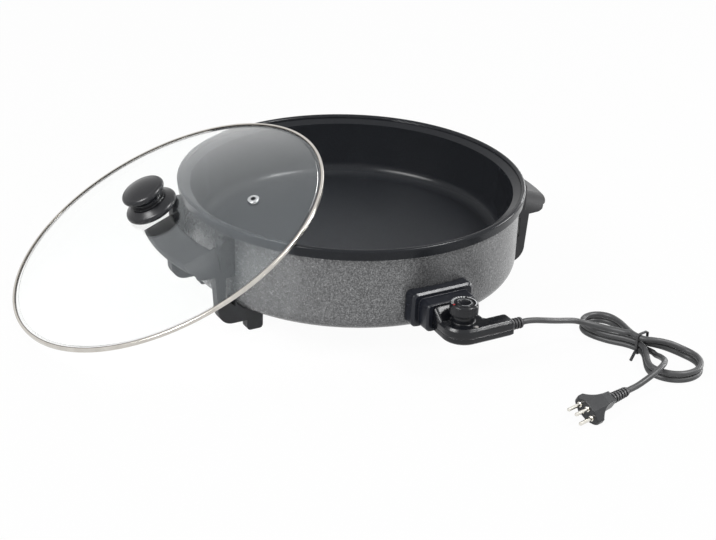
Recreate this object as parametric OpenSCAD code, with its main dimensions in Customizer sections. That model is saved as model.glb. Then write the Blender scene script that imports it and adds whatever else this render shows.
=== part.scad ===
// Round electric table grill with two bracket handles, a loose glass lid that
// leans on the rim, and a plug-in thermostat on a bundled mains lead.

/* [Pan] */
// Outer radius of the rim
pan_r = 200; // [170:1:230]
// Height of the rim above the underside of the base
pan_h = 103; // [90:1:130]
// Depth from the rim to the cooking floor
pan_depth = 72; // [55:1:76]
// Wall thickness of the pan
pan_wall_t = 3; // [2:0.5:4]
// Thickness of the cooking floor
pan_floor_t = 4; // [3:0.5:5]
// How much narrower the pan is at the floor than at the ledge
pan_taper = 5.5; // [2:0.5:12]
// Radius between cooking floor and wall
pan_corner_r = 16; // [8:1:25]
// Width of the round bead on the rim
bead_w = 6; // [4:0.5:8]
// Height of the step inside the bead
step_h = 4; // [3:0.5:6]
// Width of the ledge that carries the lid
ledge_w = 8.5; // [6:0.5:14]
// Fall of the ledge towards the pan
ledge_fall = 4; // [1:0.5:8]
// Depth of the skirt under the rim
skirt_h = 12; // [9:1:18]
// Thickness of the skirt
skirt_t = 2.6; // [2:0.2:3.4]

/* [Base] */
// How far the shell stands inside the rim
shell_inset = 5.8; // [5:0.2:8]
// Sheet thickness of the shell
shell_t = 1.2; // [0.8:0.1:2]
// How much narrower the shell is at the bottom
shell_taper = 0.9; // [0:0.1:4]
// Bottom corner radius of the shell
shell_corner_r = 19; // [10:1:24]
// Step of the pressed pad under the base
pad_step = 0.8; // [0.6:0.1:1.5]
// Height of the base above the table
base_lift = 27; // [18:1:40]
// Distance of the base screws from the axis
base_screw_pcr = 70; // [50:1:90]

/* [Heater] */
// Radius of the heating ring
ring_r = 120; // [100:1:135]
// Diameter of the heating tube
heater_d = 8; // [6:0.5:9]
// Bend radius where the heating tube turns outwards
heater_bend_r = 14; // [12:1:20]
// Half distance between the two contact pins
pin_x = 14; // [13:0.5:16]
// Diameter of a contact pin
pin_d = 6; // [5:0.5:6.5]

/* [Handles] */
// Width over both legs
handle_w = 136; // [120:1:150]
// Thickness of a leg
leg_t = 12; // [9:1:15]
// How far the grip reaches past the rim
grip_out = 41; // [36:1:50]
// Thickness of the grip
grip_t = 9; // [7:0.5:11]
// Slope length of the grip
grip_l = 37; // [34:1:44]
// Slope of the grip
grip_slope = 22; // [14:1:28]
// Height of the grip's outer edge above the base
grip_z = 55.5; // [50:0.5:62]
// Outer radius of the handle's shoulders
shoulder_r = 28; // [18:1:34]
// Height of the shoulders' lower edge above the base
hang_z = 45; // [40:1:47]
// How far the leg stands past the rim under the grip
leg_out = 5; // [3:0.5:9]
// How far the leg's lower edge hangs under the base
leg_drop = 14; // [8:1:17]
// Radius of the leg's heel
heel_r = 18; // [10:1:24]
// Distance of the foot's inner end from the rim
foot_in = 53; // [46:1:60]
// Length of the foot
foot_l = 19; // [14:1:26]
// Height of the tabs that lie against the shell
tab_z = 86; // [78:1:88]

/* [Lid] */
// Outer radius of the lid's steel band
lid_r = 192; // [188:0.5:193]
// Height of the glass dome above the band's middle
dome_h = 35; // [28:1:45]
// Thickness of the glass
glass_t = 3; // [3:0.5:5]
// Sheet thickness of the band
band_t = 0.5; // [0.4:0.1:0.8]
// Distance of the steam vent from the lid's middle
vent_at = 122; // [90:1:140]
// Direction of the steam vent
vent_dir = 140.5; // [120:0.5:240]
// Diameter of the vent grommet
vent_d = 13; // [10:0.5:16]
// Diameter of the knob's flange
knob_flange_d = 60; // [50:1:70]
// Diameter of the knob
knob_d = 50; // [42:1:56]
// Height of the knob above the glass
knob_h = 32; // [26:1:40]
// How far the lid's middle stands outside the rim
park_out = 20.3; // [18:0.1:30]
// Direction from the pan to the parked lid
park_dir = 171; // [160:0.5:180]
// Direction in which the parked lid leans
lean_dir = 173.6; // [160:0.2:180]

/* [Socket and thermostat] */
// Width of the socket's flange
socket_w = 76; // [68:1:90]
// How far the socket's flange reaches below the contact pins
socket_down = 10.3; // [9.5:0.1:12]
// How far the socket's flange reaches above the contact pins
socket_up = 29.2; // [26:0.2:36]
// Distance of the flange's face from the rim
socket_out = 6; // [5:0.5:9]
// Length of the socket's shroud
shroud_l = 18; // [14:1:22]
// Wall at the sides of the shroud
shroud_wall = 7; // [4:0.5:9]
// Width of the thermostat's case
case_w = 46.8; // [46:0.2:50]
// Height of the case
case_h = 18; // [17:0.5:21]
// Height of the nose that fills the shroud
nose_h = 26; // [25:0.5:29]
// Radius of the case's round front
case_r = 24.5; // [24:0.5:27]
// Distance from the shroud to the dial's axis
dial_out = 22.5; // [21:0.5:28]
// Reach of the cord arm from the dial's axis
arm_l = 51; // [46:1:60]
// Width of the cord arm
arm_w = 20.4; // [18:0.2:24]
// Wall thickness of the case
case_wall = 2.2; // [1.6:0.1:2.8]
// Diameter of the dial
dial_d = 31.2; // [28:0.2:36]
// Height of the dial
dial_h = 13; // [9:0.2:16]
// Height of the collar under the dial
collar_h = 8; // [6:0.5:10]
// Length of the temperature probe inside the socket
probe_l = 88; // [60:1:96]

/* [Cord and plug] */
// Diameter of the cord
cord_d = 6.6; // [6:0.1:6.8]
// Length of the plug's body
plug_l = 38; // [32:1:44]
// Length of the plug's ribbed sleeve
plug_sleeve_l = 28; // [22:1:34]
// Distance between the outer plug pins
plug_pitch = 19; // [16:0.5:21]
// Diameter of a plug pin
plug_pin_d = 4; // [3:0.2:4.8]
// Length of a plug pin
plug_pin_l = 19; // [15:0.5:22]

/* [Hidden] */
$fn = 72;
fit = 0.05;
clear = 0.3;

// Pan and base
floor_z = pan_h - pan_depth;
under_z = floor_z - pan_floor_t;
bead_r = bead_w / 2;
ledge_r = pan_r - bead_w - ledge_w;
ledge_z = pan_h - step_h - ledge_fall;
pan_floor_r = ledge_r - pan_taper;
seat_z = pan_h - step_h - pan_wall_t;
shell_r = pan_r - shell_inset;
boss_r = 6;
boss_z = pad_step + shell_t;
base_screw_r = 2.1;
base_screw_l = under_z * 0.55;
pad_r = base_screw_pcr - 18;
base_angles = [90, 210, 330];
table_z = -base_lift;

// Heater
heater_r = heater_d / 2;
heater_z = under_z - heater_r - 0.2;
pin_r = pin_d / 2;
bend_at = ring_r + heater_bend_r;
ring_gap = asin((pin_x + heater_bend_r) / bend_at);
leg_y = bend_at * cos(ring_gap);
heater_end = shell_r - 18;
seal_l = 9;
probe_r = 3;
guide_r = heater_r;
guide_bore = probe_r + clear;

// Handles
tip_r = pan_r + grip_out - grip_t / 2;
grip_run = grip_l - grip_t;
half_w = handle_w / 2;
foot_u = pan_r - foot_in;
leg_lean = 3.5;
leg_u = pan_r + leg_out - leg_lean;
hang_r = 9;
hang_u = tip_r - 8;
slit_w = 10;
slit_z = 6;
handle_screw_r = 2;
handle_screw_z = hang_z + 20;
handle_screw_a = asin((half_w - leg_t / 2 - 2) / shell_r);
handle_top_t = grip_t + 3.5;
arch_l = 1.4 * (tip_r - foot_u);

// Lid
glass_r = lid_r - band_t - 0.6;
dome_r = lid_r - 6;
half_g = glass_t / 2;
band_h = glass_t + 2 * band_t + 0.4;
dome_rise = dome_h - half_g - 0.2;
dome_sph = (dome_r * dome_r + dome_rise * dome_rise) / (2 * dome_rise);
dome_mid = dome_h - dome_sph;
under_r = dome_sph - glass_t;
brim_r = dome_r - 2;
lip_z = half_g + 0.2;
lip_r = lid_r - 3.6;
flange_top = dome_h + knob_h * 0.33;
knob_top = dome_h + knob_h;
park_gap = 0.2;
park_clear = 0.35;
park_d = pan_r + park_out;

// Socket and thermostat
socket_z0 = heater_z - socket_down;
socket_z1 = heater_z + socket_up;
socket_deep = socket_out + shell_inset + 12;
socket_screw_r = 1.75;
socket_screw_l = 10;
socket_screw_a = asin((socket_w / 2 - 5) / shell_r);
socket_screw_z = socket_z1 - 7;
face_y = -(pan_r + socket_out);
mouth_y = face_y - shroud_l;
recess_y = face_y + 2;
nose_y = recess_y - 0.4;
dial_y = mouth_y - dial_out;
back_y = mouth_y - 2;
front_y = dial_y - case_r;
case_z0 = heater_z - 7.8;
case_z1 = case_z0 + case_h;
split_z = heater_z;
nose_z0 = case_z0 + 2;
nose_z1 = nose_z0 + nose_h;
half_c = case_w / 2;
arm_y = front_y + arm_w;
collar_r = 12.5;
collar_z = case_z1 + collar_h;
dial_z0 = collar_z + 0.4;
dial_z1 = dial_z0 + dial_h;
dial_r = dial_d / 2;
shaft_r = 3;
lens_r = 2.2;
lens_x = 5;
lens_y = dial_y - dial_r - 3.2;
sleeve_r = pin_r + 0.9;
sleeve_l = 15;
pin_end = mouth_y + 6;
post_x = half_c - 6.4;
post_y = back_y - 6;
relief_y = front_y + arm_w / 2;
relief_l = 15;

// Cord, lying on the table in a hank with its waist in a tie
cord_r = cord_d / 2;
hank_at = [202, -300];
hank_dir = -80;
hank_step = 7.4;
waist_w = 4;
waist_lift = 1.8;
left_r = 20;
left_c = 62;
right_r = 30;
right_c = 46;
run_n = 7;
arc_n = 9;
plug_at = [60, -393];
plug_dir = 193.5;
plug_roll = 28.6;
plug_z = table_z + 10.9;
tie_t = 1.2;
tie_w = 3;

// Route of the free lead between the thermostat and the hank
lead_route = [
    [84, -260.6, 21], [96, -260, 17.8], [109, -258, 13.6], [122, -255, 9.2], [135, -252, 5],
    [147, -250.5, 1.2], [157, -252, -2.4], [166, -256, -5], [174, -261.5, -6.8], [181, -268.5, -7.8],
    [187, -276.5, -7.6], [192, -284, -7.4]
];

// Route of the free end between the hank and the plug
tail_route = [
    [209, -318, -22.8], [208, -326, -20.8], [204, -336, -17.4], [198, -346, -13.2], [191, -354, -9.8],
    [183, -361, -7.9], [173, -366.5, -8], [162, -370, -10.4], [151, -372, -13.4], [141, -373.8, -15.6]
];

// Shared shapes

module round_box(x0, y0, x1, y1, r) {
    translate([x0 + r, y0]) square([x1 - x0 - 2 * r, y1 - y0]);
    translate([x0, y0 + r]) square([x1 - x0, y1 - y0 - 2 * r]);
    for (x = [x0 + r, x1 - r], y = [y0 + r, y1 - r])
        translate([x, y]) circle(r = r);
}

// Half section of a bowl with leaning wall and round corner
module bowl(r0, r1, z0, z1, corner, up = 0) {
    lean = atan((r1 - r0) / (z1 - z0));
    x = r0 - corner * (1 - sin(lean)) / cos(lean);
    z = z0 + corner;
    polygon([
        [0, z0], [x, z0], [x + corner * cos(lean), z - corner * sin(lean)],
        [r1, z1], [r1, z1 + up], [0, z1 + up]
    ]);
    translate([x, z]) circle(r = corner);
}

// Upright profile drawn in X and Z, from y0 forward to y1
module upright(y0, y1) {
    translate([0, y0, 0]) rotate([90, 0, 0]) linear_extrude(height = y0 - y1) children();
}

// Space taken by the shell, grown by a gap
module shell_space(gap) {
    rotate_extrude()
        bowl(shell_r - shell_taper + gap, shell_r + gap, pad_step - gap, seat_z, shell_corner_r + gap, 20);
}

function shell_at(z) = shell_r - shell_taper * (seat_z - z) / (seat_z - pad_step);

// Screw along X with its head's seat at the origin
module screw(shank_r, shank_l, head_r, head_h) {
    rotate([0, 90, 0]) difference() {
        union() {
            cylinder(r = shank_r, h = shank_l);
            translate([0, 0, -head_h]) cylinder(r = head_r, h = head_h);
        }
        for (a = [0, 90])
            rotate([0, 0, a]) translate([-head_r * 0.55, -0.5, -head_h - 1]) cube([head_r * 1.1, 1, 2]);
    }
}

// Pan and base

module pan_section() {
    difference() {
        union() {
            bowl(pan_floor_r + pan_wall_t, ledge_r + pan_wall_t, under_z, ledge_z,
                pan_corner_r + pan_floor_t);
            polygon([
                [ledge_r, ledge_z], [pan_r - bead_w, pan_h - step_h], [pan_r - bead_w, pan_h - bead_r],
                [pan_r, pan_h - bead_r], [pan_r - 1, pan_h - skirt_h], [pan_r - 1 - skirt_t, pan_h - skirt_h],
                [pan_r - skirt_t, seat_z], [ledge_r + pan_wall_t + 2.5, seat_z],
                [ledge_r + pan_wall_t - 0.5, seat_z - 4.5], [ledge_r, seat_z - 4.5]
            ]);
            translate([pan_r - bead_r, pan_h - bead_r]) circle(r = bead_r);
        }
        bowl(pan_floor_r, ledge_r, floor_z, ledge_z, pan_corner_r, 1);
    }
}

module inner_pan() {
    color([0.1, 0.1, 0.11]) difference() {
        union() {
            rotate_extrude() pan_section();
            for (a = base_angles)
                rotate([0, 0, a]) translate([base_screw_pcr, 0, boss_z])
                    cylinder(r = boss_r, h = under_z - boss_z + 1);
        }
        for (a = base_angles)
            rotate([0, 0, a]) translate([base_screw_pcr, 0, boss_z - 1])
                cylinder(r = base_screw_r + fit, h = base_screw_l + 2);
    }
}

module outer_shell() {
    color([0.46, 0.47, 0.48]) difference() {
        rotate_extrude() difference() {
            union() {
                bowl(shell_r - shell_taper, shell_r, pad_step, seat_z, shell_corner_r);
                polygon([
                    [0, 0], [pad_r, 0], [pad_r + 2, pad_step + shell_t / 2], [0, pad_step + shell_t / 2]
                ]);
            }
            bowl(shell_r - shell_taper - shell_t, shell_r - shell_t, boss_z, seat_z,
                shell_corner_r - shell_t, 1);
            polygon([
                [0, shell_t], [pad_r - 1, shell_t], [pad_r + 1, boss_z + shell_t], [0, boss_z + shell_t]
            ]);
        }
        for (a = base_angles)
            rotate([0, 0, a]) translate([base_screw_pcr, 0, pad_step - 1])
                cylinder(r = base_screw_r + clear, h = shell_t + 2);
        for (a = [-1, 1] * handle_screw_a, side = [0, 180])
            rotate([0, 0, a + side]) translate([shell_at(handle_screw_z) - 6, 0, handle_screw_z])
                rotate([0, 90, 0]) cylinder(r = handle_screw_r + clear, h = 16);
        for (a = [-1, 1] * socket_screw_a)
            rotate([0, 0, a - 90]) translate([shell_r - 8, 0, socket_screw_z]) rotate([0, 90, 0])
                cylinder(r = socket_screw_r + clear, h = 16);
        translate([-(pin_x + 7), -shell_r - 5, heater_z - 7]) cube([2 * (pin_x + 7), 20, 14]);
    }
}

module base_screws() {
    color([0.7, 0.7, 0.7])
        for (a = base_angles)
            rotate([0, 0, a]) translate([base_screw_pcr, 0, pad_step]) rotate([0, -90, 0])
                screw(base_screw_r, base_screw_l, 4.2, 2.4);
}

// Heater

module heating_element() {
    color([0.35, 0.33, 0.31]) translate([0, 0, heater_z]) {
        rotate([0, 0, ring_gap - 90]) rotate_extrude(angle = 360 - 2 * ring_gap)
            translate([ring_r, 0]) circle(r = heater_r);
        for (m = [0, 1])
            mirror([m, 0, 0]) {
                translate([pin_x + heater_bend_r, -leg_y, 0]) rotate([0, 0, 89 + ring_gap])
                    rotate_extrude(angle = 92 - ring_gap)
                        translate([heater_bend_r, 0]) circle(r = heater_r - fit);
                translate([pin_x, -leg_y, 0]) rotate([90, 0, 0])
                    cylinder(r = heater_r, h = heater_end - leg_y);
            }
    }
}

module terminal_pins() {
    color([0.75, 0.75, 0.74])
        for (x = [-pin_x, pin_x])
            translate([x, -heater_end, heater_z]) rotate([90, 0, 0]) {
                cylinder(r = pin_r, h = -pin_end - heater_end - 1);
                translate([0, 0, -pin_end - heater_end - 1]) cylinder(r1 = pin_r, r2 = pin_r - 1, h = 1);
            }
}

module terminal_seals() {
    color([0.9, 0.88, 0.84])
        for (x = [-pin_x, pin_x])
            translate([x, -heater_end, heater_z]) rotate([90, 0, 0]) difference() {
                cylinder(r = pin_r + 2.2, h = seal_l);
                translate([0, 0, -1]) cylinder(r = pin_r + fit, h = seal_l + 2);
            }
}

module probe_guide() {
    color([0.6, 0.6, 0.6])
        translate([0, recess_y, heater_z]) rotate([-90, 0, 0]) difference() {
            cylinder(r = guide_r, h = probe_l + 6);
            translate([0, 0, -1]) cylinder(r = guide_bore, h = probe_l + 4);
        }
}

// Socket

module socket_housing() {
    color([0.13, 0.13, 0.15]) difference() {
        union() {
            hull() {
                upright(face_y + socket_deep, face_y + 2.4)
                    round_box(-socket_w / 2, socket_z0, socket_w / 2, socket_z1, 6, $fn = 32);
                upright(face_y + 0.4, face_y)
                    round_box(2.4 - socket_w / 2, socket_z0 + 1.2, socket_w / 2 - 2.4, socket_z1 - 2.4, 5,
                        $fn = 32);
            }
            hull() {
                upright(face_y + 1, mouth_y + 2)
                    round_box(-half_c - shroud_wall, nose_z0 - 3, half_c + shroud_wall, nose_z1 + 3, 5,
                        $fn = 32);
                upright(mouth_y + 1, mouth_y)
                    round_box(1.5 - half_c - shroud_wall, nose_z0 - 2, half_c + shroud_wall - 1.5, nose_z1 + 2,
                        4, $fn = 32);
            }
        }
        shell_space(clear);
        upright(recess_y, mouth_y - 1)
            round_box(-half_c - 0.4, nose_z0 - 0.4, half_c + 0.4, nose_z1 + 0.4, 4.2);
        for (x = [-pin_x, pin_x])
            translate([x, 0, heater_z]) rotate([90, 0, 0]) cylinder(r = pin_r + clear, h = 1 - recess_y);
        translate([0, 0, heater_z]) rotate([90, 0, 0]) cylinder(r = guide_r + fit, h = 1 - recess_y);
        for (a = [-1, 1] * socket_screw_a)
            rotate([0, 0, a - 90]) translate([shell_r - 8, 0, socket_screw_z]) rotate([0, 90, 0])
                cylinder(r = socket_screw_r + fit, h = socket_screw_l + 8);
    }
}

module socket_screws() {
    color([0.7, 0.7, 0.7])
        for (a = [-1, 1] * socket_screw_a)
            rotate([0, 0, a - 90]) translate([shell_at(socket_screw_z) - shell_t - 0.1, 0, socket_screw_z])
                screw(socket_screw_r, socket_screw_l, 3.2, 2.2);
}

// Handles, drawn on the right and mirrored for the left

// Side view of a leg with its foot, heel and shoulder
module leg_side() {
    top = grip_z + grip_l;
    round_box(foot_u, table_z, foot_u + foot_l, 0, 4);
    translate([foot_u, -leg_drop]) square([leg_u - heel_r - foot_u, leg_drop + hang_z]);
    translate([leg_u - heel_r, heel_r - leg_drop]) circle(r = heel_r);
    polygon([
        [foot_u, heel_r - leg_drop], [leg_u, heel_r - leg_drop], [leg_u + leg_lean, hang_z + 2],
        [leg_u + leg_lean, top], [foot_u, top]
    ]);
    polygon([
        [leg_u - 6, hang_z], [hang_u - hang_r, hang_z], [hang_u - hang_r * 0.4, hang_z + hang_r * 0.2],
        [hang_u - hang_r * 0.1, hang_z + hang_r * 0.55], [hang_u, hang_z + hang_r * 1.1],
        [hang_u, top], [leg_u - 6, top]
    ]);
}

// Front view of the handle's arch
module arch(half, top, r) {
    translate([-half, -arch_l]) square([2 * half, arch_l + top - r]);
    translate([r - half, -arch_l]) square([2 * (half - r), arch_l + top]);
    for (x = [r - half, half - r])
        translate([x, top - r]) circle(r = r);
}

// Arch drawn out along the slope of the grip
module arch_block(half, top, r) {
    translate([tip_r, 0, grip_z]) rotate([0, grip_slope, 0]) rotate([90, 0, 90])
        translate([0, 0, -arch_l]) linear_extrude(height = arch_l + grip_l) arch(half, top, r);
}

// Solid under the grip's upper face
module under_slope() {
    rise = grip_t / 2 / cos(grip_slope) - 0.6;
    slope = tan(grip_slope);
    rotate_extrude() polygon([
        [foot_u - 10, table_z - 1], [tip_r + 1, table_z - 1], [tip_r + 1, grip_z + rise - slope],
        [foot_u - 10, grip_z + rise + (tip_r - foot_u + 10) * slope]
    ]);
}

module grip_ring() {
    rotate_extrude() translate([tip_r, grip_z]) rotate(180 - grip_slope) {
        translate([0, -grip_t / 2]) square([grip_run, grip_t]);
        circle(r = grip_t / 2);
        translate([grip_run, 0]) circle(r = grip_t / 2);
    }
}

module legs() {
    inner_r = tip_r - grip_run * cos(grip_slope) - grip_t / 2 + 3;
    difference() {
        intersection() {
            union() {
                upright(half_w + 4, half_w - shoulder_r - 3) leg_side();
                upright(shoulder_r + 3 - half_w, -half_w - 4) leg_side();
            }
            under_slope();
        }
        arch_block(half_w - leg_t, grip_t / 2 - handle_top_t, shoulder_r - leg_t);
        translate([0, 0, hang_z - 20]) linear_extrude(height = 80) intersection() {
            circle(r = inner_r);
            round_box(foot_u, leg_t + 6 - half_w, pan_r + grip_out, half_w - leg_t - 6, 8);
        }
    }
}

module handle() {
    difference() {
        union() {
            intersection() {
                arch_block(half_w, grip_t / 2, shoulder_r);
                union() {
                    grip_ring();
                    legs();
                }
            }
            for (y = [half_w - 0.4, leg_t - 0.4 - half_w])
                upright(y, y - leg_t + 0.8) round_box(shell_r - 22, hang_z - 4, shell_r + 5, tab_z, 7);
        }
        shell_space(clear);
        rotate_extrude() polygon([
            [shell_r - shell_taper, slit_z], [shell_at(slit_z), slit_z], [shell_r + slit_w, slit_z + 13],
            [shell_r + slit_w, hang_z - 2.5], [shell_r - shell_taper, hang_z - 2.5]
        ]);
        for (a = [-1, 1] * handle_screw_a)
            rotate([0, 0, a]) translate([shell_at(handle_screw_z) - 6, 0, handle_screw_z])
                rotate([0, 90, 0]) cylinder(r = handle_screw_r + fit, h = 20);
    }
}

module right_handle() {
    color([0.17, 0.17, 0.18]) handle();
}

module left_handle() {
    color([0.17, 0.17, 0.18]) mirror([1, 0, 0]) handle();
}

module handle_screws() {
    color([0.7, 0.7, 0.7])
        for (a = [-1, 1] * handle_screw_a, side = [0, 180])
            rotate([0, 0, a + side]) translate([shell_at(handle_screw_z) - shell_t - 0.1, 0, handle_screw_z])
                screw(handle_screw_r, 12, 3.6, 2.4);
}

// Lid, drawn about its own axis and set leaning on the rim

function lid_mid(t) = [
    park_d * cos(park_dir), park_d * sin(park_dir),
    table_z + park_gap + lid_r * sin(t) + band_h / 2 * cos(t)
];
function lid_x(t) = [cos(t) * cos(lean_dir), cos(t) * sin(lean_dir), -sin(t)];
function lid_y() = [-sin(lean_dir), cos(lean_dir), 0];
function lid_n(t) = [sin(t) * cos(lean_dir), sin(t) * sin(lean_dir), cos(t)];

// Gap between a point of the band and the bead
function bead_gap(p) =
    let (r = norm([p[0], p[1]]) - pan_r + bead_r, z = p[2] - pan_h + bead_r)
    z < 0 && abs(r) < bead_w ? z - bead_r : norm([r, z]) - bead_r;
function band_gap(t, r) = min([
    for (a = [0:0.5:359.5])
        bead_gap(lid_mid(t) + lid_x(t) * r * cos(a) + lid_y() * r * sin(a) - lid_n(t) * band_h / 2)
]);

// Gap between the bead and the hollow of the glass, from the bead's middle
function glass_gap(r, h) =
    r > brim_r ? -half_g - h : min(under_r - norm([r, h - dome_mid]), norm([brim_r - r, h + half_g]));
function bead_under(t, p) =
    let (h = (p - lid_mid(t)) * lid_n(t), r = norm(p - lid_mid(t) - lid_n(t) * h))
    r < glass_r ? glass_gap(r, h) - bead_r : pan_r;
function dome_gap(t) = min([
    for (a = [90:0.5:270])
        bead_under(t, [(pan_r - bead_r) * cos(a), (pan_r - bead_r) * sin(a), pan_h - bead_r])
]);
function lid_gap(t) = min(band_gap(t, lid_r), band_gap(t, lip_r), dome_gap(t));
function lean(lo, hi, n) =
    n == 0 ? hi :
    lid_gap((lo + hi) / 2) > park_clear ? lean(lo, (lo + hi) / 2, n - 1) : lean((lo + hi) / 2, hi, n - 1);
lid_lean = lean(15, 60, 16);
echo(lid_lean = lid_lean, lid_middle = lid_mid(lid_lean));

module on_lid() {
    translate(lid_mid(lid_lean)) rotate([0, lid_lean, lean_dir]) children();
}

module at_vent() {
    rotate([0, 0, vent_dir]) translate([0, 0, dome_mid]) rotate([0, asin(vent_at / dome_sph), 0])
        translate([0, 0, dome_sph]) children();
}

module lid_glass() {
    color([0.8, 0.85, 0.86, 0.35]) on_lid() difference() {
        rotate_extrude() {
            intersection() {
                translate([0, dome_mid]) difference() {
                    circle(r = dome_sph, $fn = 360);
                    circle(r = under_r, $fn = 360);
                }
                translate([0, -half_g]) square([dome_r, dome_h + 2 * glass_t]);
            }
            translate([brim_r, -half_g]) square([glass_r - brim_r, glass_t]);
        }
        translate([0, 0, dome_h - 10]) cylinder(r = 3.4, h = 20);
        at_vent() translate([0, 0, -10]) cylinder(r = vent_d / 2 - 2, h = 20);
    }
}

module lid_band() {
    half = band_h / 2;
    color([0.8, 0.78, 0.74]) on_lid() rotate_extrude() difference() {
        union() {
            translate([lip_r, -half]) square([lid_r - lip_r - 0.9, band_h]);
            translate([lip_r, 0.9 - half]) square([lid_r - lip_r, band_h - 1.8]);
            for (z = [0.9 - half, half - 0.9])
                translate([lid_r - 0.9, z]) circle(r = 0.9);
        }
        translate([lip_r - 1, -lip_z]) square([lid_r - lip_r + 1 - band_t, 2 * lip_z]);
    }
}

module vent_grommet() {
    color([0.8, 0.8, 0.8]) on_lid() at_vent() rotate_extrude() difference() {
        union() {
            translate([0, 0.3]) square([vent_d / 2 - 0.7, 1.4]);
            translate([vent_d / 2 - 0.7, 1]) circle(r = 0.7);
            translate([0, -glass_t - 1.3]) square([vent_d / 2 - 2.3, glass_t + 2]);
            translate([0, -glass_t - 1.3]) square([vent_d / 2 - 0.8, 1.1]);
        }
        translate([-1, -glass_t - 3]) square([vent_d / 2 - 2.6, glass_t + 8]);
    }
}

module knob_flange() {
    r = knob_flange_d / 2;
    color([0.07, 0.07, 0.08]) on_lid() difference() {
        rotate_extrude() {
            translate([0, dome_h - 3]) square([r - 4, 8]);
            translate([r - 4.4, dome_h + 2.8]) circle(r = 4.4);
            polygon([[0, dome_h + 3], [r - 2.6, dome_h + 6.8], [r * 0.72, flange_top], [0, flange_top]]);
        }
        translate([0, 0, dome_mid]) rotate_extrude() intersection() {
            circle(r = dome_sph + 0.15, $fn = 360);
            translate([0, dome_sph - 20]) square([r + 5, 30]);
        }
        translate([0, 0, dome_h - 5]) cylinder(r = 2.7, h = 20);
    }
}

module lid_knob() {
    r = knob_d / 2;
    neck = r * 0.7;
    mid = knob_top - 8;
    color([0.07, 0.07, 0.08]) on_lid() difference() {
        rotate_extrude() {
            translate([0, flange_top]) square([neck, mid - flange_top]);
            translate([0, flange_top]) square([neck + 2.5, 2]);
            polygon([[0, flange_top + 5], [neck, flange_top + 5], [r - 2.6, mid - 3], [0, mid - 3]]);
            translate([0, mid - 3.6]) square([r - 4, 7.2]);
            translate([r - 4, mid]) circle(r = 4);
            intersection() {
                translate([0, knob_top - r * 2.3]) circle(r = r * 2.3);
                translate([0, mid]) square([r - 3.2, 12]);
            }
        }
        translate([0, 0, flange_top - 1]) cylinder(r = 2.5 + fit, h = 13);
    }
}

module knob_washer() {
    color([0.75, 0.75, 0.75]) on_lid() translate([0, 0, dome_h - glass_t - 1.6]) difference() {
        cylinder(r = 9, h = 1.4);
        translate([0, 0, -1]) cylinder(r = 2.7, h = 4);
    }
}

module knob_screw() {
    color([0.75, 0.75, 0.75]) on_lid() translate([0, 0, dome_h - glass_t - 1.7]) rotate([0, -90, 0])
        screw(2.5, flange_top - dome_h + glass_t + 1.7 + 11, 5, 2.6);
}

// Thermostat

module case_main(inset) {
    translate([inset - half_c, dial_y]) square([case_w - 2 * inset, back_y - dial_y - inset]);
    difference() {
        translate([0, dial_y]) circle(r = case_r - inset);
        translate([-case_w, back_y - inset - 1]) square([2 * case_w, case_r]);
    }
}

module case_arm(inset) {
    translate([0, inset]) round_box(0, front_y, arm_l - inset, arm_y - 2 * inset, 3);
}

module case_corner(r) {
    difference() {
        translate([half_c - 1, arm_y - 1]) square([r + 1, r + 1]);
        translate([half_c + r, arm_y + r]) circle(r = r);
    }
}

module case_hollow(z0, z1) {
    translate([0, 0, z0]) linear_extrude(height = z1 - z0) {
        case_main(case_wall);
        case_arm(case_wall);
    }
}

module case_bores() {
    for (x = [-pin_x, pin_x])
        translate([x, nose_y + 1, split_z]) rotate([90, 0, 0]) {
            cylinder(r = pin_r + clear, h = 4);
            translate([0, 0, 2.5]) cylinder(r = sleeve_r + fit, h = sleeve_l + 0.5);
        }
    translate([0, nose_y + 1, split_z]) rotate([90, 0, 0]) cylinder(r = probe_r + fit, h = 40);
    translate([arm_l - 10, relief_y, split_z]) rotate([0, 90, 0]) cylinder(r = cord_r + 1 + fit, h = 20);
}

module upper_case() {
    color([0.05, 0.05, 0.06]) difference() {
        union() {
            difference() {
                union() {
                    hull() {
                        translate([0, 0, split_z]) linear_extrude(height = case_z1 - split_z - 3)
                            case_main(0, $fn = 48);
                        translate([0, 0, case_z1 - 1]) linear_extrude(height = 1) case_main(2.5, $fn = 48);
                    }
                    hull() {
                        translate([0, 0, split_z]) linear_extrude(height = case_z1 - split_z - 3)
                            case_arm(0, $fn = 32);
                        translate([0, 0, case_z1 - 1]) linear_extrude(height = 1) case_arm(2.5, $fn = 32);
                    }
                    translate([0, 0, split_z]) linear_extrude(height = case_z1 - split_z - 3) case_corner(12);
                    hull() {
                        upright(mouth_y + 1, mouth_y - 1)
                            round_box(-half_c, split_z, half_c, nose_z1, 4, $fn = 32);
                        upright(back_y - 11, back_y - 12)
                            round_box(-half_c, split_z, half_c, case_z1 + 0.5, 3, $fn = 32);
                    }
                    translate([0, dial_y, case_z1 - 3]) cylinder(r = collar_r, h = collar_h + 3);
                    intersection() {
                        upright(nose_y, mouth_y) round_box(-half_c, nose_z0, half_c, nose_z1, 4);
                        translate([-half_c - 5, mouth_y - 5, split_z]) cube([case_w + 10, 40, nose_h]);
                    }
                }
                case_hollow(split_z - 1, case_z1 - case_wall);
            }
            for (x = [-post_x, post_x])
                translate([x, post_y, split_z]) cylinder(r = 3.4, h = case_z1 - split_z - 1);
        }
        case_bores();
        translate([0, dial_y, split_z]) cylinder(r = shaft_r + fit, h = 40);
        translate([lens_x, lens_y, split_z]) cylinder(r = lens_r + fit, h = 20);
        for (x = [-post_x, post_x])
            translate([x, post_y, split_z - 1]) cylinder(r = 1.5 + fit, h = 7.5);
    }
}

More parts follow.
